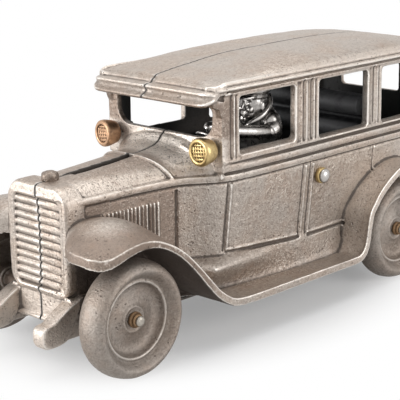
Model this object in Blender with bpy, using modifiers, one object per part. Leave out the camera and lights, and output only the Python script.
"""Cast iron toy sedan bank: two mirrored body castings, running gear, lamps, seats and driver."""

import math

import bmesh
import bpy
from mathutils import Matrix, Vector

MM = 0.001

# Overall layout. +X is the front, +Y the left side, and the tyres stand on Z = 0.
LENGTH = 210 * MM
FRONT_OVERHANG = 25 * MM
WHEELBASE = 150 * MM
SEAM_GAP = 0.3 * MM
CLEARANCE = 0.3 * MM

# Wheels and axles.
WHEEL_RADIUS = 21 * MM
WHEEL_SIDES = 40
TYRE_WIDTH = 13.6 * MM
WHEEL_OUTER_Y = 42.4 * MM
AXLE_BOSS_RADIUS = 3.6 * MM
BEAD_RADIUS = 14.4 * MM
DISC_DEPTH = 6.0 * MM
DISC_THICKNESS = 2.4 * MM
DISC_BOSS_RADIUS = 8.4 * MM
HUB_RADIUS = 4.4 * MM
HUB_DEPTH = 3.3 * MM
AXLE_RADIUS = 1.6 * MM
AXLE_RUNNING_GAP = 0.1 * MM
HUB_WASHER_RADIUS = 2.9 * MM
HUB_WASHER_THICKNESS = 0.9 * MM
AXLE_HEAD_RADIUS = 2.2 * MM
AXLE_HEAD_HEIGHT = 1.1 * MM

# Body heights above the ground and the wall of the castings.
WALL = 2.5 * MM
FLANGE_Z = 15 * MM
HOOD_SKIRT_Z = 24 * MM
SILL_Z = 28 * MM
BELT_Z = 57 * MM
BELT_BEAD_LOW = 55.2 * MM
BELT_BEAD_HIGH = 59 * MM
UPPER_BEAD_LOW = 62.2 * MM
UPPER_BEAD_HIGH = 66 * MM
BEAD_PROUD = 0.9 * MM
SIDE_TUCK = 2.7 * MM
GUTTER_Z = 91.2 * MM
GUTTER_PROUD = 1.2 * MM
ROOF_WALL = 2.4 * MM

# Places along the car, measured back from the front axle.
RADIATOR_FACE = -10.3 * MM
HOOD_FRONT = -5.2 * MM
HOOD_REAR = 38.8 * MM
WINDSCREEN = 52.5 * MM
ROOF_FRONT = 48.0 * MM
BODY_REAR = 182.3 * MM
REAR_CORNER_RADIUS = 8 * MM
CABIN_HALF_WIDTH = 30.4 * MM
DOOR_HALF_WIDTH = 30.7 * MM

# Radiator shell and grille.
RADIATOR_HALF_WIDTH = 16.2 * MM
RADIATOR_BOTTOM = 24.2 * MM
RADIATOR_TOP = 63.2 * MM
RADIATOR_CORNER = 6.5 * MM
RADIATOR_CROWN = 1.6 * MM
GRILLE_HALF_WIDTH = 12.1 * MM
GRILLE_BOTTOM = 26.8 * MM
GRILLE_TOP = 59.4 * MM
GRILLE_DEPTH = 2.0 * MM
GRILLE_BARS = 11
CAP_RADIUS = 3.1 * MM
CAP_HEIGHT = 4.2 * MM
CAP_STEM_RADIUS = 1.3 * MM
CAP_STATION = -3.2 * MM

# Windows.
WINDOW_SILL = 66.4 * MM
WINDOW_TOP = 88.4 * MM
WINDOW_CORNER = 1.6 * MM
SIDE_WINDOWS = [(61.3 * MM, 92.8 * MM), (107.1 * MM, 138.0 * MM), (147.4 * MM, 173.0 * MM)]
WINDSCREEN_HALF_WIDTH = 24.8 * MM
WINDSCREEN_SILL = 73.0 * MM
WINDSCREEN_TOP = 85.2 * MM
WINDSCREEN_CORNER = 4.2 * MM
REAR_WINDOW_HALF_WIDTH = 15.7 * MM
REAR_WINDOW_SILL = 72.2 * MM
REAR_WINDOW_TOP = 85.0 * MM
COIN_SLOT_LENGTH = 27 * MM
COIN_SLOT_HEIGHT = 4.6 * MM
COIN_SLOT_Z = 55.0 * MM

# Fenders, running board and frame.
BOARD_OUTER_Y = 42.0 * MM
BOARD_Z = 15.8 * MM
FENDER_THICKNESS = 2.3 * MM
FRONT_LIP_EXTRA = 1.5 * MM
FENDER_DOME = 5.6 * MM
FENDER_FRONT = 18.9 * MM
FENDER_CORNER = 6.3 * MM
RAIL_INNER_Y = 13.0 * MM
RAIL_OUTER_Y = 16.8 * MM
RAIL_BOTTOM = 11.5 * MM
RAIL_TOP = 26.0 * MM
WELL_RADIUS = 22.6 * MM
WELL_INNER_Y = 27.6 * MM
DOOR_LINES = [58.8 * MM, 100.0 * MM, 142.8 * MM]
DOOR_LINE_WIDTH = 0.8 * MM
DOOR_LINE_DEPTH = 0.7 * MM
LOUVRE_COUNT = 14
LOUVRE_PITCH = 2.1 * MM
LOUVRE_FIRST = 3.6 * MM
LOUVRE_BOTTOM = 38.5 * MM
LOUVRE_TOP = 52.5 * MM

# Fittings.
SCREW_STATION = 108.8 * MM
SCREW_Z = 50.2 * MM
SCREW_RADIUS = 1.6 * MM
SCREW_HEAD_RADIUS = 2.95 * MM
SCREW_HEAD_HEIGHT = 1.9 * MM
SCREW_HEAD_EDGE = 0.4 * MM
FERRULE_RADIUS = 3.2 * MM
FERRULE_LENGTH = 1.6 * MM
BOSS_RADIUS = 4.0 * MM
NUT_ACROSS_CORNERS = 7.0 * MM
NUT_THICKNESS = 2.6 * MM
LAMP_STATION = 44.5 * MM
LAMP_Y = 25.6 * MM
LAMP_Z = 69.4 * MM
LAMP_RADIUS = 5.3 * MM
LAMP_DEPTH = 3.4 * MM
LAMP_RIM = 1.5 * MM
LAMP_LENS_RECESS = 0.8 * MM
LAMP_STEM_RADIUS = 1.5 * MM
LAMP_STEM_LENGTH = 9.0 * MM
LAMP_STEM_GRIP = 1.4 * MM
LAMP_COLLAR_RADIUS = 3.7 * MM
LAMP_COLLAR_DEPTH = 3.2 * MM

# Floor, seats, driver and steering.
FLOOR_THICKNESS = 1.2 * MM
FLOOR_HALF_WIDTH = 23.2 * MM
SEAT_INSET = 0.2 * MM
REAR_SEAT_GAP = 0.4 * MM
FLOOR_FRONT = 57.0 * MM
FLOOR_REAR = 176.0 * MM
SEAT_CUSHION = 20 * MM
SEAT_BACK_THICKNESS = 4.2 * MM
SEAT_ROUNDING = 1.8 * MM
FRONT_SEAT = 79.0 * MM
FRONT_SEAT_Z = 48.0 * MM
FRONT_SEAT_BACK_Z = 63.0 * MM
REAR_SEAT = 123.0 * MM
REAR_SEAT_Z = 47.0 * MM
REAR_SEAT_BACK_Z = 76.6 * MM
DRIVER_Y = 14.7 * MM
DRIVER_TORSO = 92.8 * MM
DRIVER_HEAD = 88.2 * MM
DRIVER_HEAD_Z = 79.8 * MM
DRIVER_HEAD_RADIUS = 4.2 * MM
DRIVER_HEAD_SHAPE = Matrix.Diagonal((0.95, 0.86, 1.12, 1))
STEERING_STATION = 62.4 * MM
STEERING_Z = 69.8 * MM
STEERING_RADIUS = 5.2 * MM
STEERING_RIM = 0.75 * MM
STEERING_TILT = math.radians(38)
STEERING_HUB_RADIUS = 1.9 * MM
STEERING_HUB_HEIGHT = 1.8 * MM
COLUMN_RADIUS = 0.9 * MM
COLUMN_LENGTH = 24 * MM
COLUMN_GRIP = 0.1 * MM
BRACKET_STATION = 52.0 * MM
BRACKET_DEPTH = 5.0 * MM
BRACKET_WIDTH = 6.0 * MM
BRACKET_BOTTOM = 51.0 * MM

FRONT_AXLE_X = LENGTH / 2 - FRONT_OVERHANG
REAR_AXLE_X = FRONT_AXLE_X - WHEELBASE
AXLE_Z = WHEEL_RADIUS
WHEEL_INNER_Y = WHEEL_OUTER_Y - TYRE_WIDTH
HUB_FACE = WHEEL_OUTER_Y - HUB_DEPTH
BORE_RADIUS = AXLE_RADIUS + AXLE_RUNNING_GAP
FLOOR_Z = RAIL_TOP + CLEARANCE
SEAT_HALF_WIDTH = FLOOR_HALF_WIDTH - SEAT_INSET
REAR_SEAT_HALF_WIDTH = WELL_INNER_Y - WALL - REAR_SEAT_GAP
CUT = 60 * MM

# Hood, cowl and body plan: station back from the front axle, half width at the belt and
# height on the centre line.
BODY_STATIONS = [
    (HOOD_FRONT, 15.2 * MM, 64.4 * MM),
    (6.1 * MM, 15.8 * MM, 65.0 * MM),
    (21.0 * MM, 16.6 * MM, 65.9 * MM),
    (HOOD_REAR, 18.3 * MM, 66.8 * MM),
    (43.0 * MM, 20.2 * MM, 68.8 * MM),
    (48.3 * MM, 23.6 * MM, 70.8 * MM),
    (WINDSCREEN, 26.8 * MM, 72.4 * MM),
    (58.8 * MM, 29.3 * MM, 72.4 * MM),
    (71.4 * MM, 30.2 * MM, 72.4 * MM),
    (96.6 * MM, DOOR_HALF_WIDTH, 72.4 * MM),
]
# Roof crown: station back from the front axle, height on the centre line.
ROOF_CROWN = [
    (ROOF_FRONT, 94.4 * MM),
    (73.1 * MM, 96.9 * MM),
    (90.0 * MM, 98.4 * MM),
    (107.8 * MM, 98.9 * MM),
    (132.8 * MM, 99.1 * MM),
    (159.4 * MM, 98.5 * MM),
    (178.5 * MM, 96.6 * MM),
]
# Top line of the front fender from its front lip down to the board, from the front axle (back, up).
FRONT_FENDER_LINE = [
    (-21.5 * MM, 45.9 * MM), (-14.1 * MM, 46.1 * MM), (-9.5 * MM, 46.9 * MM), (-4.8 * MM, 47.9 * MM),
    (1.0 * MM, 48.5 * MM), (6.7 * MM, 47.9 * MM), (12.8 * MM, 45.7 * MM), (18.6 * MM, 42.4 * MM),
    (23.5 * MM, 38.4 * MM), (28.4 * MM, 33.4 * MM), (33.4 * MM, 27.7 * MM), (38.5 * MM, 22.2 * MM),
    (43.8 * MM, 18.3 * MM), (49.1 * MM, 16.4 * MM),
]
# Top line of the rear fender from the board up and over the wheel, from the rear axle (back, up).
REAR_FENDER_LINE = [
    (-28.6 * MM, 16.4 * MM), (-25.8 * MM, 19.4 * MM), (-24.3 * MM, 25.0 * MM), (-22.9 * MM, 32.0 * MM),
    (-19.7 * MM, 36.3 * MM), (-15.6 * MM, 40.6 * MM), (-9.1 * MM, 45.0 * MM), (-2.8 * MM, 47.8 * MM),
    (4.5 * MM, 48.9 * MM), (11.9 * MM, 47.9 * MM), (19.6 * MM, 43.6 * MM), (25.6 * MM, 36.8 * MM),
    (29.3 * MM, 28.6 * MM), (31.2 * MM, 20.5 * MM),
]
# Sill ledge: station back from the front axle, crest half width, half width where it meets the board.
SILL_LEDGE = [
    (35.0 * MM, 18.4 * MM, 18.0 * MM), (41.0 * MM, 21.5 * MM, 19.5 * MM), (45.5 * MM, 26.4 * MM, 22.5 * MM),
    (50.4 * MM, 30.0 * MM, 25.6 * MM), (62.0 * MM, 30.2 * MM, 27.2 * MM),
    (97.0 * MM, 28.9 * MM, 29.4 * MM), (124.0 * MM, 28.6 * MM, 29.6 * MM),
]
# Side of the frame horn, from the front axle (ahead, up).
HORN_OUTLINE = [
    (4.2 * MM, 26.0 * MM), (10.5 * MM, 23.7 * MM), (15.1 * MM, 21.2 * MM), (20.0 * MM, 18.2 * MM),
    (23.2 * MM, 18.0 * MM), (25.0 * MM, 16.0 * MM), (24.2 * MM, 13.4 * MM), (21.6 * MM, 11.2 * MM),
    (19.0 * MM, 10.4 * MM), (15.5 * MM, 10.6 * MM), (12.6 * MM, 11.5 * MM),
]


def clear_scene():
    for obj in list(bpy.data.objects):
        bpy.data.objects.remove(obj, do_unlink=True)


def new_collection(name):
    collection = bpy.data.collections.new(name)
    bpy.context.scene.collection.children.link(collection)
    return collection


def new_material(name, colour, roughness, metallic=1.0):
    material = bpy.data.materials.new(name)
    material.use_nodes = True
    shader = material.node_tree.nodes["Principled BSDF"]
    shader.inputs["Base Color"].default_value = (*colour, 1.0)
    shader.inputs["Roughness"].default_value = roughness
    shader.inputs["Metallic"].default_value = metallic
    return material


def station(back):
    """World X of a station measured back from the front axle."""
    return FRONT_AXLE_X - back


def object_from(name, bm, collection, material=None, smooth=False):
    bmesh.ops.remove_doubles(bm, verts=bm.verts, dist=1e-7)
    bmesh.ops.connect_verts_nonplanar(bm, angle_limit=math.radians(0.05), faces=bm.faces)
    bmesh.ops.recalc_face_normals(bm, faces=bm.faces)
    mesh = bpy.data.meshes.new(name)
    bm.to_mesh(mesh)
    bm.free()
    if material:
        mesh.materials.append(material)
    if smooth:
        smooth_round_faces(mesh)
    obj = bpy.data.objects.new(name, mesh)
    collection.objects.link(obj)
    return obj


def smooth_round_faces(mesh):
    mesh.shade_smooth()
    mesh.set_sharp_from_angle(angle=math.radians(35))


def hide_tool(obj):
    obj.hide_render = True
    obj.display_type = "WIRE"
    return obj


def loft(bm, rings, flat=False):
    """Closed solid through rings of equal length, capped at both ends. A flat ring is an upper row and
    a lower row run back, and its caps join the two rows."""
    rows = [[bm.verts.new(point) for point in ring] for ring in rings]
    count = len(rows[0])
    for row, following in zip(rows, rows[1:]):
        for i in range(count):
            j = (i + 1) % count
            bm.faces.new((row[i], row[j], following[j], following[i]))
    for row in (rows[0], rows[-1]):
        if flat:
            for i in range(count // 2 - 1):
                bm.faces.new((row[i], row[i + 1], row[count - 2 - i], row[count - 1 - i]))
        else:
            bm.faces.new(row)


def prism(bm, outline, axis, low, high):
    """Outline in the plane square to axis, extruded from low to high along it."""
    level = "xyz".index(axis)
    verts = []
    for point in outline:
        place = list(point)
        place.insert(level, low)
        verts.append(bm.verts.new(place))
    face = bm.faces.new(verts)
    extruded = bmesh.ops.extrude_face_region(bm, geom=[face], use_keep_orig=True)
    moved = [item for item in extruded["geom"] if isinstance(item, bmesh.types.BMVert)]
    travel = Vector((0, 0, 0))
    travel[level] = high - low
    bmesh.ops.translate(bm, verts=moved, vec=travel)


def rod(bm, x, z, radius, low, high, sides=16):
    """Round bar along Y through (x, z)."""
    place = Matrix.Translation((x, (low + high) / 2, z)) @ Matrix.Rotation(math.pi / 2, 4, "X")
    bmesh.ops.create_cone(
        bm, cap_ends=True, segments=sides, radius1=radius, radius2=radius, depth=high - low, matrix=place
    )


def bore(name, radius, low, high, collection, frame, sides=12):
    """Round cutter along the Z axis of frame."""
    bm = bmesh.new()
    place = Matrix.Translation((0, 0, (low + high) / 2))
    bmesh.ops.create_cone(
        bm, cap_ends=True, segments=sides, radius1=radius, radius2=radius, depth=high - low, matrix=place
    )
    cutter = object_from(name, bm, collection)
    cutter.matrix_world = frame
    return hide_tool(cutter)


def rounded_rectangle(low, high, radius, steps=4):
    """Outline of a rectangle from low to high with round corners."""
    corners = [(high[0], high[1], 0), (low[0], high[1], 90), (low[0], low[1], 180), (high[0], low[1], 270)]
    outline = []
    for x, y, start in corners:
        cx = x - math.copysign(radius, x - (low[0] + high[0]) / 2)
        cy = y - math.copysign(radius, y - (low[1] + high[1]) / 2)
        for k in range(steps + 1):
            angle = math.radians(start + 90 * k / steps)
            outline.append((cx + radius * math.cos(angle), cy + radius * math.sin(angle)))
    return outline


def circle(centre, radius, sides, phase=0.0):
    return [
        (
            centre[0] + radius * math.cos(math.tau * (k + phase) / sides),
            centre[1] + radius * math.sin(math.tau * (k + phase) / sides),
        )
        for k in range(sides)
    ]


def spline(points, samples):
    """Catmull-Rom curve through points, with the given number of steps between neighbours."""
    curve = []
    for i in range(len(points) - 1):
        before = Vector(points[max(i - 1, 0)])
        start = Vector(points[i])
        end = Vector(points[i + 1])
        after = Vector(points[min(i + 2, len(points) - 1)])
        for k in range(samples):
            t = k / samples
            curve.append(
                0.5 * ((2 * start) + (end - before) * t
                       + (2 * before - 5 * start + 4 * end - after) * t ** 2
                       + (3 * start - before - 3 * end + after) * t ** 3)
            )
    curve.append(Vector(points[-1]))
    return curve


def interpolate(table, back, column=1):
    """Value of a station table at a place, straight between its rows."""
    if back <= table[0][0]:
        return table[0][column]
    for row, following in zip(table, table[1:]):
        if back <= following[0]:
            share = (back - row[0]) / (following[0] - row[0])
            return row[column] + share * (following[column] - row[column])
    return table[-1][column]


def rear_rounding(back, reach):
    """How far the side draws in where the body turns its rear corner."""
    start = reach - REAR_CORNER_RADIUS
    if back <= start:
        return 0.0
    along = min(back - start, REAR_CORNER_RADIUS)
    return REAR_CORNER_RADIUS - math.sqrt(max(REAR_CORNER_RADIUS ** 2 - along ** 2, 0.0))


def belt_half_width(back):
    return interpolate(BODY_STATIONS, back) - rear_rounding(back, BODY_REAR)


def cabin_half_width(back):
    return CABIN_HALF_WIDTH - rear_rounding(back, BODY_REAR)


def tuck(back):
    """How far the side draws in below the belt: none on the hood, full by the doors."""
    share = (back - HOOD_REAR) / (WINDSCREEN - HOOD_REAR)
    return SIDE_TUCK * min(max(share, 0.0), 1.0)


def arch(half_width, low, high, steps=9, power=2.25):
    """Half of a squarish arch, from its foot up to the centre line."""
    points = []
    for k in range(steps + 1):
        angle = math.pi / 2 * k / steps
        y = half_width * math.cos(angle) ** (2 / power)
        points.append((y, low + (high - low) * math.sin(angle) ** (2 / power)))
    return points


def stations_between(front, rear, extra=()):
    inner = [row[0] for row in BODY_STATIONS if front < row[0] < rear]
    return sorted({front, rear, *inner, *[place for place in extra if front < place < rear]})


def corner_stations(reach):
    start = reach - REAR_CORNER_RADIUS
    return [start + REAR_CORNER_RADIUS * share for share in (0.0, 0.35, 0.62, 0.82, 0.94, 1.0)]


def lower_ring(back, inset, bottom):
    """Cross-section of the hood, cowl and tub, drawn in by inset."""
    width = belt_half_width(back) - inset
    foot = width - tuck(back)
    top = interpolate(BODY_STATIONS, back, 2) - inset
    skirt = HOOD_SKIRT_Z if back < HOOD_REAR else FLANGE_Z
    low = skirt if bottom is None else bottom
    outline = [(-3 * MM, low), (foot, low), (foot, max(SILL_Z, low + MM))]
    outline += arch(width, BELT_Z, top)
    outline.append((-3 * MM, top))
    return [(station(back), y, z) for y, z in outline]


def upper_ring(back):
    """Cross-section of the cabin walls from the upper moulding to the gutter."""
    width = cabin_half_width(back)
    low = UPPER_BEAD_LOW - 1.2 * MM
    high = GUTTER_Z + MM
    return [(station(back), y, z) for y, z in ((-3 * MM, low), (width, low), (width, high), (-3 * MM, high))]


def roof_ring(back, reach):
    width = CABIN_HALF_WIDTH + GUTTER_PROUD - rear_rounding(back, reach)
    crown = interpolate(ROOF_CROWN, min(back, reach))
    low = GUTTER_Z - 0.8 * MM
    outline = [(-3 * MM, low), (width, low)]
    outline += arch(width, GUTTER_Z + 0.4 * MM, crown, steps=10, power=2.8)
    outline.append((-3 * MM, crown))
    return [(station(back), y, z) for y, z in outline]


def lower_body(collection):
    bm = bmesh.new()
    places = stations_between(HOOD_FRONT, BODY_REAR, corner_stations(BODY_REAR))
    loft(bm, [lower_ring(back, 0.0, None) for back in places])
    return object_from("body_left", bm, collection, smooth=True)


def upper_body(collection):
    bm = bmesh.new()
    places = [WINDSCREEN, *corner_stations(BODY_REAR)]
    loft(bm, [upper_ring(back) for back in places])
    return object_from("cabin_walls", bm, collection)


def roof(collection):
    bm = bmesh.new()
    reach = LENGTH - FRONT_OVERHANG
    places = sorted([row[0] for row in ROOF_CROWN] + corner_stations(reach))
    loft(bm, [roof_ring(back, reach) for back in places])
    return object_from("roof", bm, collection)


def visor(collection):
    """Sun visor under the front edge of the roof, thinning towards its rounded ends."""
    bm = bmesh.new()
    section = [(-6.0, 92.6), (5.2, 92.6), (8.0, 90.4), (8.4, 87.4), (7.6, 86.4), (-6.0, 90.4)]
    half = CABIN_HALF_WIDTH + 0.4 * MM
    rings = []
    shares = (
        (-3 * MM, 1.0), (half - 6 * MM, 1.0), (half - 2.5 * MM, 0.9), (half - 0.4 * MM, 0.6), (half, 0.3),
    )
    for y, share in shares:
        rings.append(
            [(station(WINDSCREEN) + (a if a < 0 else a * share) * MM, y, (91.5 + (z - 91.5) * share) * MM)
             for a, z in section]
        )
    loft(bm, rings)
    return object_from("visor", bm, collection)


def cabin_space(collection):
    bm = bmesh.new()
    reach = BODY_REAR - WALL
    extra = corner_stations(BODY_REAR)[:4] + [102 * MM, 150 * MM]
    places = stations_between(WINDSCREEN + WALL, reach, extra)
    rings = []
    for back in places:
        crown = interpolate(ROOF_CROWN, back) - ROOF_WALL
        belt = belt_half_width(back) - WALL
        foot = belt - tuck(back)
        outline = [(-5 * MM, 5 * MM), (foot, 5 * MM), (foot, SILL_Z), (belt, BELT_Z)]
        outline += arch(min(belt, cabin_half_width(back) - WALL), GUTTER_Z - ROOF_WALL, crown, power=2.8)
        outline.append((-5 * MM, crown))
        rings.append([(station(back), y, z) for y, z in outline])
    loft(bm, rings)
    return object_from("cabin_space", bm, collection)


def hood_space(collection):
    bm = bmesh.new()
    places = stations_between(HOOD_FRONT + WALL, WINDSCREEN + 2 * WALL)
    loft(bm, [lower_ring(back, WALL, 5 * MM) for back in places])
    return object_from("hood_space", bm, collection)


def window_cutters(collection):
    bm = bmesh.new()
    for front, rear in SIDE_WINDOWS:
        outline = rounded_rectangle(
            (station(rear), WINDOW_SILL), (station(front), WINDOW_TOP), WINDOW_CORNER
        )
        prism(bm, outline, "y", CABIN_HALF_WIDTH - 3 * WALL, CABIN_HALF_WIDTH + 3 * WALL)
    screen = rounded_rectangle(
        (-WINDSCREEN_HALF_WIDTH, WINDSCREEN_SILL), (WINDSCREEN_HALF_WIDTH, WINDSCREEN_TOP), WINDSCREEN_CORNER
    )
    prism(bm, screen, "x", station(WINDSCREEN + 2 * WALL), station(WINDSCREEN - 2 * MM))
    rear = rounded_rectangle(
        (-REAR_WINDOW_HALF_WIDTH, REAR_WINDOW_SILL), (REAR_WINDOW_HALF_WIDTH, REAR_WINDOW_TOP), WINDOW_CORNER
    )
    prism(bm, rear, "x", station(BODY_REAR + 2 * WALL), station(BODY_REAR - 2 * WALL))
    half_slot = COIN_SLOT_HEIGHT / 2
    slot = [
        (-COIN_SLOT_LENGTH / 2, COIN_SLOT_Z - half_slot), (COIN_SLOT_LENGTH / 2, COIN_SLOT_Z - half_slot),
        (COIN_SLOT_LENGTH / 2, COIN_SLOT_Z + half_slot), (-COIN_SLOT_LENGTH / 2, COIN_SLOT_Z + half_slot),
    ]
    prism(bm, slot, "x", station(BODY_REAR + 2 * WALL), station(BODY_REAR - 2 * WALL))
    return object_from("window_cutters", bm, collection)


def side_bead(bm, front, rear, low, high, width_at):
    """Moulding along the body side that follows its plan."""
    places = stations_between(front, rear, corner_stations(BODY_REAR)[:4])
    edge = (high - low) * 0.3
    rings = []
    for back in places:
        width = width_at(back)
        rings.append([
            (station(back), y, z)
            for y, z in (
                (width - 1.2 * MM, low), (width + BEAD_PROUD * 0.5, low), (width + BEAD_PROUD, low + edge),
                (width + BEAD_PROUD, high - edge), (width + BEAD_PROUD * 0.5, high),
                (width - 1.2 * MM, high),
            )
        ])
    loft(bm, rings)


def mouldings(collection):
    bm = bmesh.new()
    side_bead(bm, HOOD_FRONT + 3 * MM, BODY_REAR - 2 * MM, BELT_BEAD_LOW, BELT_BEAD_HIGH, belt_half_width)
    bead_front = WINDSCREEN + 0.5 * MM
    side_bead(bm, bead_front, BODY_REAR - 2 * MM, UPPER_BEAD_LOW, UPPER_BEAD_HIGH, cabin_half_width)
    return object_from("mouldings", bm, collection)


def radiator(collection):
    bm = bmesh.new()
    shell = rounded_rectangle(
        (-RADIATOR_HALF_WIDTH, RADIATOR_BOTTOM), (RADIATOR_HALF_WIDTH, RADIATOR_TOP), RADIATOR_CORNER, 5
    )
    crown = []
    for y, z in shell:
        share = 1 - (y / RADIATOR_HALF_WIDTH) ** 2 if z > RADIATOR_TOP - RADIATOR_CORNER else 0
        crown.append((y, z + RADIATOR_CROWN * share))
    prism(bm, crown, "x", station(HOOD_FRONT + 3.5 * MM), station(RADIATOR_FACE))
    return object_from("radiator", bm, collection)


def grille_recess(collection):
    bm = bmesh.new()
    opening = rounded_rectangle(
        (-GRILLE_HALF_WIDTH, GRILLE_BOTTOM), (GRILLE_HALF_WIDTH, GRILLE_TOP), 2.4 * MM
    )
    face = station(RADIATOR_FACE)
    prism(bm, opening, "x", face - GRILLE_DEPTH, face + 5 * MM)
    return object_from("grille_recess", bm, collection)


def grille_bars(collection):
    bm = bmesh.new()
    pitch = (GRILLE_TOP - GRILLE_BOTTOM) / (GRILLE_BARS + 0.4)
    radius = pitch * 0.36
    back = station(RADIATOR_FACE) - GRILLE_DEPTH - 0.4 * MM
    for k in range(GRILLE_BARS):
        height = GRILLE_BOTTOM + pitch * (k + 0.7)
        outline = [
            (back + 1.9 * MM * math.sin(math.pi * j / 6), height - radius * math.cos(math.pi * j / 6))
            for j in range(7)
        ]
        prism(bm, outline, "y", -3 * MM, GRILLE_HALF_WIDTH - 0.9 * MM)
    return object_from("grille_bars", bm, collection)


def apron(collection):
    """Plate below the radiator, between the frame horns, with a rolled lower lip."""
    bm = bmesh.new()
    face = FRONT_AXLE_X + 9.6 * MM
    outline = [
        (face - 3.4 * MM, 25.2 * MM), (face, 25.2 * MM), (face, 16.2 * MM), (face + 0.9 * MM, 15.4 * MM),
        (face + 0.3 * MM, 14.2 * MM), (face - 3.4 * MM, 14.4 * MM),
    ]
    prism(bm, outline, "y", -3 * MM, RAIL_OUTER_Y - MM)
    return object_from("apron", bm, collection)


def frame_rail(collection):
    """Frame side from the front horn to the tail, which carries both axles."""
    bm = bmesh.new()
    outline = [(FRONT_AXLE_X + ahead, up) for ahead, up in HORN_OUTLINE]
    outline += [(station(BODY_REAR - 8 * MM), RAIL_BOTTOM), (station(BODY_REAR - 3 * MM), RAIL_TOP)]
    prism(bm, outline, "y", RAIL_INNER_Y, RAIL_OUTER_Y)
    return object_from("frame_rail", bm, collection)


def fender_front_edge(y):
    """How far ahead of the front axle the fender reaches, by distance from the centre line."""
    ahead = FENDER_FRONT
    shoulder = BOARD_OUTER_Y - FENDER_CORNER
    if y > shoulder:
        ahead -= FENDER_CORNER - math.sqrt(max(FENDER_CORNER ** 2 - (y - shoulder) ** 2, 0.0))
    inner = 30.4 * MM
    if y < inner:
        ahead -= 7.8 * MM * ((inner - y) / (inner - RAIL_OUTER_Y)) ** 2
    return ahead


def dome_share(share):
    """Crown of the front fender across its width, 0 at the outer edge and 1 at the hood."""
    if share < 0.62:
        return math.sin(math.pi / 2 * share / 0.62) ** 0.9
    return 1 - 0.35 * ((share - 0.62) / 0.38) ** 2


def fender_dome(back, y):
    """Crown of the front fender along its length, gone at its front edge."""
    peak = -4 * MM
    if back < peak:
        ahead = min((peak - back) / (fender_front_edge(y) + peak), 1.0)
        return FENDER_DOME * math.sqrt(1 - ahead ** 2)
    fade = (back - peak) / (38 * MM)
    return FENDER_DOME * math.cos(math.pi / 2 * min(fade, 1.0)) ** 2


def strip_inner_edge(back):
    """Where fender and board run in under the body side."""
    if back < 30 * MM:
        return belt_half_width(max(back, HOOD_FRONT)) - 1.2 * MM
    if back < WHEELBASE - 26 * MM:
        blend = min((back - 30 * MM) / (20 * MM), 1.0)
        hood_side = belt_half_width(30 * MM) - 1.2 * MM
        return hood_side + blend * (RAIL_OUTER_Y - MM - hood_side)
    return WELL_INNER_Y - 1.6 * MM


def fender_strip(collection):
    """Front fender, running board and rear fender as one sheet of even thickness."""
    front = [Vector(point) for point in FRONT_FENDER_LINE]
    board = [Vector((60 * MM, BOARD_Z)), Vector((WHEELBASE - 34 * MM, BOARD_Z))]
    rear = [Vector((WHEELBASE + back, up)) for back, up in REAR_FENDER_LINE]
    line = spline(front + board + rear, 2)
    bend = 10 * MM
    rings = []
    for i, point in enumerate(line):
        tangent = (line[min(i + 1, len(line) - 1)] - line[max(i - 1, 0)]).normalized()
        normal = Vector((-tangent.y, tangent.x))
        inner = strip_inner_edge(point.x)
        frontness = min(max((bend - point.x) / (bend + FENDER_FRONT), 0.0), 1.0)
        thickness = FENDER_THICKNESS + FRONT_LIP_EXTRA * frontness
        upper, lower = [], []
        for share in (0.0, 0.06, 0.2, 0.38, 0.6, 0.8, 1.0):
            y = BOARD_OUTER_Y - share * (BOARD_OUTER_Y - inner)
            rise = fender_dome(point.x, y) * dome_share(share)
            place = point + normal * rise
            upper.append((station(place.x), y, place.y))
            place = point + normal * (rise - thickness)
            lower.append((station(place.x), y, place.y))
        rings.append(upper + lower[::-1])
    bm = bmesh.new()
    loft(bm, rings, flat=True)
    return object_from("fender_strip", bm, collection)


def fender_plan(collection):
    """Everything ahead of the rounded front edge of the fender."""
    bm = bmesh.new()
    edge = []
    inner = RAIL_OUTER_Y - 4 * MM
    for k in range(13):
        y = inner + (BOARD_OUTER_Y - 0.02 * MM - inner) * (1 - (1 - k / 12) ** 1.6)
        edge.append((FRONT_AXLE_X + fender_front_edge(y), y))
    outline = edge + [(edge[-1][0], CUT), (FRONT_AXLE_X + CUT, CUT), (FRONT_AXLE_X + CUT, edge[0][1])]
    prism(bm, outline, "z", 30 * MM, 70 * MM)
    return object_from("fender_plan", bm, collection)


def axle_bosses(collection):
    """Round bosses that space each wheel away from the body side."""
    bm = bmesh.new()
    for x in (FRONT_AXLE_X, REAR_AXLE_X):
        rod(bm, x, AXLE_Z, AXLE_BOSS_RADIUS, RAIL_INNER_Y + MM, WHEEL_INNER_Y + 0.4 * MM)
    return object_from("axle_bosses", bm, collection)


def door_lines(collection):
    """Shallow upright grooves around the doors, following the tuck of the side."""
    bm = bmesh.new()
    for back in DOOR_LINES:
        side = belt_half_width(back)
        rings = []
        for z, y in ((SILL_Z + MM, side - tuck(back)), (BELT_BEAD_LOW, side)):
            rings.append([
                (station(back + DOOR_LINE_WIDTH / 2), y - DOOR_LINE_DEPTH, z),
                (station(back - DOOR_LINE_WIDTH / 2), y - DOOR_LINE_DEPTH, z),
                (station(back - DOOR_LINE_WIDTH), y + 3 * MM, z),
                (station(back + DOOR_LINE_WIDTH), y + 3 * MM, z),
            ])
        loft(bm, rings)
    return object_from("door_lines", bm, collection)


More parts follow.
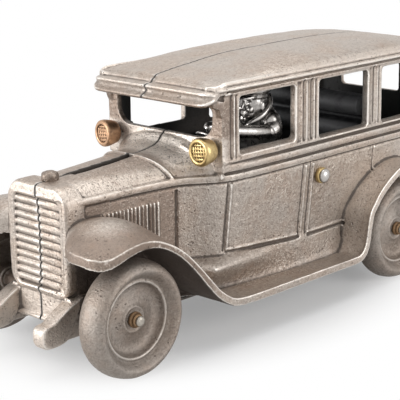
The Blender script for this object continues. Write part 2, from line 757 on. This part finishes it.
def sill(collection):
    """Rounded ledge between the door bottoms and the running board."""
    bm = bmesh.new()
    rings = []
    for back, crest, foot in SILL_LEDGE:
        side = belt_half_width(back) - tuck(back)
        rings.append([
            (station(back), y, z)
            for y, z in (
                (side - 2 * MM, SILL_Z + 1.2 * MM), (side + 0.1 * MM, SILL_Z + 0.6 * MM),
                (side + 0.7 * (crest - side), SILL_Z - 1.2 * MM), (crest, SILL_Z - 2.8 * MM),
                (crest - 0.2 * (crest - foot), SILL_Z - 5.5 * MM), (foot, BOARD_Z + 1.4 * MM),
                (foot + 1.6 * MM, BOARD_Z - MM), (side - 2 * MM, BOARD_Z - MM),
            )
        ])
    loft(bm, rings)
    return object_from("sill", bm, collection)


def louvres(collection):
    bm = bmesh.new()
    for k in range(LOUVRE_COUNT):
        back = LOUVRE_FIRST + k * LOUVRE_PITCH
        width = belt_half_width(back)
        outline = [
            (station(back - 0.6 * MM), width - 0.8 * MM), (station(back - 0.2 * MM), width + 0.6 * MM),
            (station(back + 0.3 * MM), width + 0.6 * MM), (station(back + 0.7 * MM), width - 0.8 * MM),
        ]
        prism(bm, outline, "z", LOUVRE_BOTTOM, LOUVRE_TOP)
    return object_from("louvres", bm, collection)


def well_walls(collection):
    """Plates that close the rear wheel wells towards the cabin."""
    bm = bmesh.new()
    outline = [
        (x, z) for x, z in circle((REAR_AXLE_X, AXLE_Z), WELL_RADIUS + 2.4 * MM, 28) if z > FLANGE_Z
    ]
    prism(bm, outline, "y", WELL_INNER_Y - 2.6 * MM, WELL_INNER_Y + 0.3 * MM)
    return object_from("well_walls", bm, collection)


def wheel_wells(collection):
    bm = bmesh.new()
    rod(bm, REAR_AXLE_X, AXLE_Z, WELL_RADIUS, WELL_INNER_Y, CUT, 32)
    return object_from("wheel_wells", bm, collection)


def screw_boss(collection):
    bm = bmesh.new()
    rod(bm, station(SCREW_STATION), SCREW_Z, BOSS_RADIUS, -3 * MM, belt_half_width(SCREW_STATION) - MM)
    return object_from("screw_boss", bm, collection)


def side_bores(collection):
    """Holes across the car for the axles and the through screw."""
    bm = bmesh.new()
    for x in (FRONT_AXLE_X, REAR_AXLE_X):
        rod(bm, x, AXLE_Z, BORE_RADIUS, -CUT, CUT)
    rod(bm, station(SCREW_STATION), SCREW_Z, SCREW_RADIUS + CLEARANCE, -CUT, CUT)
    return object_from("side_bores", bm, collection)


def lamp_socket(collection):
    """Solid metal behind the windscreen corner, which takes the lamp stem."""
    bm = bmesh.new()
    outline = rounded_rectangle((LAMP_Y - 4 * MM, 58 * MM), (LAMP_Y + 3.6 * MM, WINDSCREEN_SILL), MM)
    prism(bm, outline, "x", station(WINDSCREEN + 5 * MM), station(WINDSCREEN) - 0.4 * MM)
    return object_from("lamp_socket", bm, collection)


def add_boolean(obj, tool, operation):
    modifier = obj.modifiers.new(tool.name, "BOOLEAN")
    modifier.object = tool
    modifier.operation = operation
    modifier.solver = "EXACT"


def body_half(parts, tools, material):
    half = lower_body(parts)
    half.data.materials.append(material)
    add_boolean(half, hide_tool(upper_body(tools)), "UNION")
    add_boolean(half, hide_tool(roof(tools)), "UNION")
    add_boolean(half, hide_tool(cabin_space(tools)), "DIFFERENCE")
    add_boolean(half, hide_tool(hood_space(tools)), "DIFFERENCE")
    for make in (lamp_socket, well_walls, screw_boss):
        add_boolean(half, hide_tool(make(tools)), "UNION")
    add_boolean(half, hide_tool(window_cutters(tools)), "DIFFERENCE")
    add_boolean(half, hide_tool(radiator(tools)), "UNION")
    add_boolean(half, hide_tool(grille_recess(tools)), "DIFFERENCE")
    for make in (grille_bars, mouldings, visor, apron, frame_rail, axle_bosses, sill, louvres):
        add_boolean(half, hide_tool(make(tools)), "UNION")
    strip = hide_tool(fender_strip(tools))
    add_boolean(strip, hide_tool(fender_plan(tools)), "DIFFERENCE")
    add_boolean(half, strip, "UNION")
    add_boolean(half, hide_tool(door_lines(tools)), "DIFFERENCE")
    add_boolean(half, hide_tool(wheel_wells(tools)), "DIFFERENCE")
    add_boolean(half, hide_tool(side_bores(tools)), "DIFFERENCE")
    lamp_hole = bore(
        "lamp_hole", LAMP_STEM_RADIUS + CLEARANCE, -LAMP_STEM_LENGTH - CLEARANCE, 0, tools,
        forward_frame(station(LAMP_STATION + LAMP_DEPTH), LAMP_Y, LAMP_Z),
    )
    add_boolean(half, lamp_hole, "DIFFERENCE")
    cap_hole = bore(
        "cap_hole", CAP_STEM_RADIUS + CLEARANCE, RADIATOR_TOP - 8 * MM, RADIATOR_TOP + 9 * MM, tools,
        Matrix.Translation((station(CAP_STATION), 0, 0)),
    )
    add_boolean(half, cap_hole, "DIFFERENCE")
    bm = bmesh.new()
    prism(bm, [(-LENGTH, -CUT), (LENGTH, -CUT), (LENGTH, SEAM_GAP / 2), (-LENGTH, SEAM_GAP / 2)],
          "z", -CUT, 3 * CUT)
    add_boolean(half, hide_tool(object_from("seam_plane", bm, tools)), "DIFFERENCE")
    return half


def evaluated_mesh(obj):
    bpy.context.view_layer.update()
    graph = bpy.context.evaluated_depsgraph_get()
    return bpy.data.meshes.new_from_object(obj.evaluated_get(graph))


def mirrored(obj, name, collection):
    """Copy of a piece on the other side of the centre plane."""
    mesh = evaluated_mesh(obj)
    mesh.name = name
    mesh.transform(Matrix.Scale(-1, 4, (0, 1, 0)) @ obj.matrix_world)
    mesh.flip_normals()
    copy = bpy.data.objects.new(name, mesh)
    collection.objects.link(copy)
    return copy


def turned(name, profile, sides, collection, material, frame, side=1):
    """Piece turned about the Z axis of frame: profile rows are (radius, height along that axis)."""
    rows = [(radius, side * height) for radius, height in profile]
    if profile[0] != profile[-1]:
        rows = [(0, rows[0][1]), *rows, (0, rows[-1][1])]
    area = sum(a[0] * b[1] - b[0] * a[1] for a, b in zip(rows, rows[1:] + rows[:1]))
    if area > 0:
        rows.reverse()
    bm = bmesh.new()
    closed = rows[0] == rows[-1]
    verts = [bm.verts.new((radius, 0, height)) for radius, height in (rows[:-1] if closed else rows)]
    for start, end in zip(verts, verts[1:] + (verts[:1] if closed else [])):
        bm.edges.new((start, end))
    mesh = bpy.data.meshes.new(name)
    bm.to_mesh(mesh)
    bm.free()
    obj = bpy.data.objects.new(name, mesh)
    collection.objects.link(obj)
    screw = obj.modifiers.new("turn", "SCREW")
    screw.steps = sides
    screw.render_steps = sides
    screw.use_merge_vertices = True
    screw.merge_threshold = 0.001 * MM
    obj.data = evaluated_mesh(obj)
    obj.modifiers.clear()
    obj.data.materials.append(material)
    smooth_round_faces(obj.data)
    obj.matrix_world = frame
    return obj


def across_frame(x, z):
    """Frame whose Z axis runs out to the left."""
    return Matrix.Translation((x, 0, z)) @ Matrix.Rotation(-math.pi / 2, 4, "X")


def forward_frame(x, y, z):
    """Frame whose Z axis runs to the front."""
    return Matrix.Translation((x, y, z)) @ Matrix.Rotation(math.pi / 2, 4, "Y")


def wheel_profile():
    """Tyre, bead, dished disc and hub of the wheel as one closed section."""
    centre = WHEEL_OUTER_Y - TYRE_WIDTH / 2
    half = TYRE_WIDTH / 2
    crown = WHEEL_RADIUS - half
    outer = [
        (crown + half * math.cos(a), centre + half * math.sin(a))
        for a in [math.radians(d) for d in (-75, -52, -30, -10, 10, 30, 52, 75, 97)]
    ]
    floor = WHEEL_OUTER_Y - DISC_DEPTH
    rear = floor - DISC_THICKNESS
    disc = [
        (BEAD_RADIUS + 0.7 * MM, WHEEL_OUTER_Y - 2.9 * MM), (BEAD_RADIUS, WHEEL_OUTER_Y - 2.5 * MM),
        (BEAD_RADIUS - 0.9 * MM, WHEEL_OUTER_Y - 3.0 * MM), (BEAD_RADIUS - 1.2 * MM, floor + 0.6 * MM),
        (DISC_BOSS_RADIUS + 0.8 * MM, floor), (DISC_BOSS_RADIUS, floor + 1.1 * MM),
        (HUB_RADIUS + 1.2 * MM, HUB_FACE - 0.8 * MM), (HUB_RADIUS, HUB_FACE), (BORE_RADIUS, HUB_FACE),
    ]
    back = [
        (BORE_RADIUS, WHEEL_INNER_Y + 0.8 * MM), (HUB_RADIUS, WHEEL_INNER_Y + 0.8 * MM),
        (HUB_RADIUS + 0.8 * MM, rear), (BEAD_RADIUS - 1.6 * MM, rear),
        (BEAD_RADIUS - 0.6 * MM, WHEEL_INNER_Y + 1.6 * MM),
    ]
    section = outer + disc + back
    return section + [section[0]]


def wheels(collection, iron):
    for x, end in ((FRONT_AXLE_X, "front"), (REAR_AXLE_X, "rear")):
        for side, hand in ((1, "left"), (-1, "right")):
            frame = across_frame(x, AXLE_Z)
            turned(f"wheel_{end}_{hand}", wheel_profile(), WHEEL_SIDES, collection, iron, frame, side)


def axles(collection, steel, bronze):
    washer_back = HUB_FACE + CLEARANCE
    washer_face = washer_back + HUB_WASHER_THICKNESS
    head = washer_face + CLEARANCE
    tip = head + AXLE_HEAD_HEIGHT
    for x, end in ((FRONT_AXLE_X, "front"), (REAR_AXLE_X, "rear")):
        profile = [
            (0.9 * MM, -tip), (1.7 * MM, -tip + 0.35 * MM), (AXLE_HEAD_RADIUS, -head - 0.2 * MM),
            (AXLE_HEAD_RADIUS, -head), (AXLE_RADIUS, -head), (AXLE_RADIUS, head), (AXLE_HEAD_RADIUS, head),
            (AXLE_HEAD_RADIUS, head + 0.2 * MM), (1.7 * MM, tip - 0.35 * MM), (0.9 * MM, tip),
        ]
        turned(f"{end}_axle", profile, 16, collection, steel, across_frame(x, AXLE_Z))
        for side, hand in ((1, "left"), (-1, "right")):
            ring = [
                (BORE_RADIUS, washer_back), (HUB_WASHER_RADIUS, washer_back),
                (HUB_WASHER_RADIUS, washer_face), (BORE_RADIUS, washer_face),
            ]
            name = f"hub_washer_{end}_{hand}"
            turned(name, ring + [ring[0]], 20, collection, bronze, across_frame(x, AXLE_Z), side)


def lens_cuts(tools):
    """Crossing vee cuts that give a lamp lens its squares, in the frame of the lamp."""
    lens = LAMP_DEPTH - LAMP_LENS_RECESS
    radius = LAMP_RADIUS - LAMP_RIM
    cutters = []
    for k in (-1, 0, 1):
        place = k * radius * 0.5
        reach = math.sqrt(radius ** 2 - place ** 2) - 0.5 * MM
        section = [(place, lens - 0.35 * MM), (place + 0.5 * MM, lens + MM), (place - 0.5 * MM, lens + MM)]
        for turn in (0, math.pi / 2):
            bm = bmesh.new()
            prism(bm, section, "y", -reach, reach)
            bmesh.ops.rotate(bm, verts=bm.verts, matrix=Matrix.Rotation(turn, 3, "Z"))
            cutters.append(hide_tool(object_from("lens_cut", bm, tools)))
    return cutters


def lamps(collection, tools, brass, iron):
    """Round brass lamps with a cross cut lens, each on a stem that enters the windscreen corner."""
    lens = LAMP_DEPTH - LAMP_LENS_RECESS
    hole = LAMP_STEM_RADIUS + CLEARANCE
    profile = [
        (hole, LAMP_STEM_GRIP), (hole, 0), (LAMP_RADIUS - 1.4 * MM, 0), (LAMP_RADIUS - 0.3 * MM, 0.9 * MM),
        (LAMP_RADIUS, LAMP_DEPTH - MM), (LAMP_RADIUS - 0.2 * MM, LAMP_DEPTH),
        (LAMP_RADIUS - LAMP_RIM, LAMP_DEPTH), (LAMP_RADIUS - LAMP_RIM, lens),
    ]
    cutters = lens_cuts(tools)
    for side, hand in ((1, "left"), (-1, "right")):
        frame = forward_frame(station(LAMP_STATION + LAMP_DEPTH), side * LAMP_Y, LAMP_Z)
        lamp = turned(f"lamp_{hand}", profile, 28, collection, brass, frame)
        for cutter in cutters:
            tool = cutter.copy()
            tool.matrix_world = frame
            tools.objects.link(tool)
            add_boolean(lamp, hide_tool(tool), "DIFFERENCE")
        stem = [
            (LAMP_STEM_RADIUS, -LAMP_STEM_LENGTH), (LAMP_STEM_RADIUS, -LAMP_COLLAR_DEPTH),
            (LAMP_COLLAR_RADIUS - MM, -LAMP_COLLAR_DEPTH), (LAMP_COLLAR_RADIUS, -CLEARANCE - MM),
            (LAMP_COLLAR_RADIUS, -CLEARANCE), (LAMP_STEM_RADIUS, -CLEARANCE),
            (LAMP_STEM_RADIUS, LAMP_STEM_GRIP - CLEARANCE),
        ]
        turned(f"lamp_stem_{hand}", stem, 16, collection, iron, frame)


def radiator_cap(collection, iron):
    base = RADIATOR_TOP + RADIATOR_CROWN + CLEARANCE
    top = RADIATOR_TOP + CAP_HEIGHT
    profile = [
        (CAP_STEM_RADIUS, RADIATOR_TOP - 4 * MM), (CAP_STEM_RADIUS, base), (CAP_RADIUS, base),
        (CAP_RADIUS, top - 0.7 * MM), (CAP_RADIUS - 0.7 * MM, top), (0.8 * MM, top + 0.2 * MM),
    ]
    frame = Matrix.Translation((station(CAP_STATION), 0, 0))
    turned("radiator_cap", profile, 24, collection, iron, frame)


def through_screw(collection, tools, nickel, brass, steel):
    """Screw across the body: domed head and ferrule on the left, nut on the right."""
    side = belt_half_width(SCREW_STATION) - tuck(SCREW_STATION) * (BELT_Z - SCREW_Z) / (BELT_Z - SILL_Z)
    frame = across_frame(station(SCREW_STATION), SCREW_Z)
    ferrule_face = side + CLEARANCE + FERRULE_LENGTH
    under_head = ferrule_face + CLEARANCE
    dome = SCREW_HEAD_HEIGHT - SCREW_HEAD_EDGE
    head = [
        (SCREW_HEAD_RADIUS * math.cos(a), under_head + SCREW_HEAD_EDGE + dome * math.sin(a))
        for a in [math.radians(d) for d in (0, 25, 50, 72)]
    ]
    tip = -(side + CLEARANCE + NUT_THICKNESS + 1.2 * MM)
    profile = [(SCREW_RADIUS, tip), (SCREW_RADIUS, under_head), (SCREW_HEAD_RADIUS, under_head)] + head
    turned("body_screw", profile, 20, collection, nickel, frame)
    hole_radius = SCREW_RADIUS + CLEARANCE
    ring = [
        (hole_radius, side + CLEARANCE), (FERRULE_RADIUS, side + CLEARANCE),
        (FERRULE_RADIUS, ferrule_face - 0.3 * MM), (FERRULE_RADIUS - 0.3 * MM, ferrule_face),
        (hole_radius, ferrule_face),
    ]
    turned("screw_washer", ring + [ring[0]], 24, collection, brass, frame)
    inner, outer = side + CLEARANCE, side + CLEARANCE + NUT_THICKNESS
    bm = bmesh.new()
    prism(bm, circle((0, 0), NUT_ACROSS_CORNERS / 2, 6), "z", -outer, -inner)
    nut = object_from("screw_nut", bm, collection, steel)
    nut.matrix_world = frame
    add_boolean(nut, bore("nut_bore", hole_radius, -CUT, CUT, tools, frame, 16), "DIFFERENCE")


def seat_outline(front, cushion_z, back_z):
    """Side of a bench seat on the floor plate, from its front foot round its rounded edges."""
    floor = FLOOR_Z + FLOOR_THICKNESS + CLEARANCE
    rear = front + SEAT_CUSHION + SEAT_BACK_THICKNESS
    r = SEAT_ROUNDING
    points = [(front, floor), (front, cushion_z - r)]
    points += [(front + 0.3 * r, cushion_z - 0.3 * r), (front + r, cushion_z)]
    points += [(front + SEAT_CUSHION, cushion_z - 0.6 * MM), (front + SEAT_CUSHION, back_z - r)]
    points += [(front + SEAT_CUSHION + 0.3 * r, back_z - 0.3 * r), (front + SEAT_CUSHION + r, back_z)]
    points += [(rear - r, back_z), (rear - 0.3 * r, back_z - 0.3 * r), (rear, back_z - r), (rear, floor)]
    return [(station(x), z) for x, z in points]


def seats(collection, material):
    for name, front, cushion_z, back_z, half_width in (
        ("front_seat", FRONT_SEAT, FRONT_SEAT_Z, FRONT_SEAT_BACK_Z, SEAT_HALF_WIDTH),
        ("rear_seat", REAR_SEAT, REAR_SEAT_Z, REAR_SEAT_BACK_Z, REAR_SEAT_HALF_WIDTH),
    ):
        bm = bmesh.new()
        prism(bm, seat_outline(front, cushion_z, back_z), "y", -half_width, half_width)
        object_from(name, bm, collection, material)


def floor_plate(collection, material):
    bm = bmesh.new()
    outline = rounded_rectangle(
        (station(FLOOR_REAR), -FLOOR_HALF_WIDTH), (station(FLOOR_FRONT), FLOOR_HALF_WIDTH), 2 * MM
    )
    prism(bm, outline, "z", FLOOR_Z, FLOOR_Z + FLOOR_THICKNESS)
    object_from("floor_plate", bm, collection, material)


def ellipse_ring(centre, half_x, half_y, sides=14):
    x, y, z = centre
    angles = [math.tau * k / sides for k in range(sides)]
    return [(x + half_x * math.cos(a), y + half_y * math.sin(a), z) for a in angles]


def limb(name, places, tools):
    """Round limb through places, each a point and a radius, as a curve made into a mesh."""
    curve = bpy.data.curves.new(name, "CURVE")
    curve.dimensions = "3D"
    curve.bevel_depth = 1.0
    curve.bevel_resolution = 2
    curve.use_fill_caps = True
    line = curve.splines.new("POLY")
    line.points.add(len(places) - 1)
    for point, (place, radius) in zip(line.points, places):
        point.co = (*place, 1.0)
        point.radius = radius
    guide = bpy.data.objects.new(name + "_line", curve)
    tools.objects.link(guide)
    mesh = evaluated_mesh(guide)
    bpy.data.objects.remove(guide)
    bm = bmesh.new()
    bm.from_mesh(mesh)
    return hide_tool(object_from(name, bm, tools))


def driver(collection, tools, nickel):
    """Seated figure in a flat cap, hands towards the steering wheel."""
    x = station(DRIVER_TORSO)
    head_x = station(DRIVER_HEAD)
    bm = bmesh.new()
    seat = FRONT_SEAT_Z + CLEARANCE
    loft(bm, [
        ellipse_ring((x + 0.4 * MM, DRIVER_Y, seat), 5.6 * MM, 6.6 * MM),
        ellipse_ring((x, DRIVER_Y, seat + 9 * MM), 4.8 * MM, 6.4 * MM),
        ellipse_ring((x, DRIVER_Y, seat + 19 * MM), 4.8 * MM, 7.6 * MM),
        ellipse_ring((x + MM, DRIVER_Y, seat + 24 * MM), 3.6 * MM, 6.0 * MM),
        ellipse_ring((head_x - 1.2 * MM, DRIVER_Y, seat + 26.6 * MM), 2.6 * MM, 2.8 * MM),
        ellipse_ring((head_x - 0.8 * MM, DRIVER_Y, DRIVER_HEAD_Z), 2.5 * MM, 2.6 * MM),
    ])
    figure = object_from("driver", bm, collection, nickel, smooth=True)
    bm = bmesh.new()
    bmesh.ops.create_uvsphere(
        bm, u_segments=14, v_segments=9, radius=DRIVER_HEAD_RADIUS,
        matrix=Matrix.Translation((head_x, DRIVER_Y, DRIVER_HEAD_Z)) @ DRIVER_HEAD_SHAPE,
    )
    add_boolean(figure, hide_tool(object_from("driver_head", bm, tools)), "UNION")
    bm = bmesh.new()
    cap_z = DRIVER_HEAD_Z + 2.0 * MM
    loft(bm, [
        ellipse_ring((head_x - 0.3 * MM, DRIVER_Y, cap_z), 4.3 * MM, 4.1 * MM),
        ellipse_ring((head_x - 0.3 * MM, DRIVER_Y, cap_z + 1.3 * MM), 4.5 * MM, 4.3 * MM),
        ellipse_ring((head_x - 0.4 * MM, DRIVER_Y, cap_z + 2.2 * MM), 5.2 * MM, 5.0 * MM),
        ellipse_ring((head_x - 0.5 * MM, DRIVER_Y, cap_z + 3.2 * MM), 4.9 * MM, 4.7 * MM),
        ellipse_ring((head_x - 0.6 * MM, DRIVER_Y, cap_z + 3.9 * MM), 2.8 * MM, 2.7 * MM),
    ])
    add_boolean(figure, hide_tool(object_from("driver_cap", bm, tools)), "UNION")
    bm = bmesh.new()
    loft(bm, [
        ellipse_ring((head_x + 3.3 * MM, DRIVER_Y, cap_z + 0.1 * MM), 4.1 * MM, 3.5 * MM, 10),
        ellipse_ring((head_x + 3.0 * MM, DRIVER_Y, cap_z + 0.9 * MM), 3.9 * MM, 3.3 * MM, 10),
    ])
    add_boolean(figure, hide_tool(object_from("driver_peak", bm, tools)), "UNION")
    for side, hand in ((1, "left"), (-1, "right")):
        shoulder = (x + 0.6 * MM, DRIVER_Y + side * 6.2 * MM, seat + 20 * MM)
        elbow = (x + 8.6 * MM, DRIVER_Y + side * 7.6 * MM, seat + 13.5 * MM)
        wrist = (x + 19.6 * MM, DRIVER_Y + side * 4.2 * MM, seat + 19.0 * MM)
        arm = limb(f"driver_arm_{hand}", [(shoulder, 2.5 * MM), (elbow, 2.1 * MM), (wrist, 1.6 * MM)], tools)
        add_boolean(figure, arm, "UNION")
        bm = bmesh.new()
        bmesh.ops.create_uvsphere(
            bm, u_segments=9, v_segments=7, radius=1.9 * MM, matrix=Matrix.Translation(wrist),
        )
        add_boolean(figure, hide_tool(object_from(f"driver_hand_{hand}", bm, tools)), "UNION")


def steering_frame():
    """Frame of the steering wheel, its Z axis up the column towards the driver."""
    place = Matrix.Translation((station(STEERING_STATION), DRIVER_Y, STEERING_Z))
    return place @ Matrix.Rotation(-STEERING_TILT, 4, "Y")


def column_bracket(left, tools):
    """Lug under the cowl of the left half that holds the steering column."""
    bm = bmesh.new()
    outline = [
        (DRIVER_Y - BRACKET_WIDTH / 2, BRACKET_BOTTOM), (DRIVER_Y + BRACKET_WIDTH / 2, BRACKET_BOTTOM),
        (DRIVER_Y + BRACKET_WIDTH / 2, BELT_Z + 11 * MM), (DRIVER_Y - BRACKET_WIDTH / 2, BELT_Z + 13 * MM),
    ]
    rear = station(BRACKET_STATION + BRACKET_DEPTH / 2)
    prism(bm, outline, "x", rear, rear + BRACKET_DEPTH)
    add_boolean(left, hide_tool(object_from("column_bracket", bm, tools)), "UNION")
    hole = bore(
        "column_hole", COLUMN_RADIUS + COLUMN_GRIP, -COLUMN_LENGTH - 9 * MM, -8 * MM, tools, steering_frame()
    )
    add_boolean(left, hole, "DIFFERENCE")


def steering(collection, tools, nickel, steel):
    """Four spoke steering wheel on a straight column."""
    frame = steering_frame()
    rim = [
        (STEERING_RADIUS + STEERING_RIM * math.cos(a), STEERING_RIM * math.sin(a))
        for a in (math.tau * k / 8 for k in range(8))
    ]
    wheel = turned("steering_wheel", rim + [rim[0]], 24, collection, nickel, frame)
    hub = [
        (STEERING_HUB_RADIUS, -STEERING_HUB_HEIGHT), (STEERING_HUB_RADIUS, 0.3 * MM), (1.1 * MM, 0.8 * MM),
    ]
    boss = turned("steering_hub", hub, 12, tools, nickel, frame)
    spokes = bmesh.new()
    half = 0.45 * MM
    reach = STEERING_RADIUS
    cross = [
        (half, half), (half, reach), (-half, reach), (-half, half), (-reach, half), (-reach, -half),
        (-half, -half), (-half, -reach), (half, -reach), (half, -half), (reach, -half), (reach, half),
    ]
    prism(spokes, cross, "z", -0.4 * MM, 0.2 * MM)
    bars = object_from("steering_spokes", spokes, tools)
    bars.matrix_world = frame
    add_boolean(wheel, hide_tool(boss), "UNION")
    add_boolean(wheel, hide_tool(bars), "UNION")
    drill = bore("steering_bore", COLUMN_RADIUS + COLUMN_GRIP, -6 * MM, -0.6 * MM, tools, frame)
    add_boolean(wheel, drill, "DIFFERENCE")
    column = [(COLUMN_RADIUS, -COLUMN_LENGTH), (COLUMN_RADIUS, -0.6 * MM - COLUMN_GRIP)]
    turned("steering_column", column, 10, collection, steel, frame)


def main():
    clear_scene()
    parts = new_collection("cast_iron_car_bank")
    tools = new_collection("cutters")
    iron = new_material("worn_cast_iron", (0.42, 0.38, 0.34), 0.5)
    dark_iron = new_material("dark_cast_iron", (0.09, 0.08, 0.075), 0.7)
    steel = new_material("bright_steel", (0.62, 0.6, 0.56), 0.35)
    bronze = new_material("bronze", (0.35, 0.27, 0.15), 0.45)
    brass = new_material("old_brass", (0.55, 0.4, 0.2), 0.4)
    nickel = new_material("nickel", (0.68, 0.67, 0.64), 0.25)
    left = body_half(parts, tools, iron)
    mirrored(left, "body_right", parts)
    column_bracket(left, tools)
    radiator_cap(parts, iron)
    wheels(parts, iron)
    axles(parts, steel, bronze)
    lamps(parts, tools, brass, dark_iron)
    through_screw(parts, tools, nickel, brass, steel)
    floor_plate(parts, dark_iron)
    seats(parts, dark_iron)
    driver(parts, tools, nickel)
    steering(parts, tools, nickel, steel)


main()
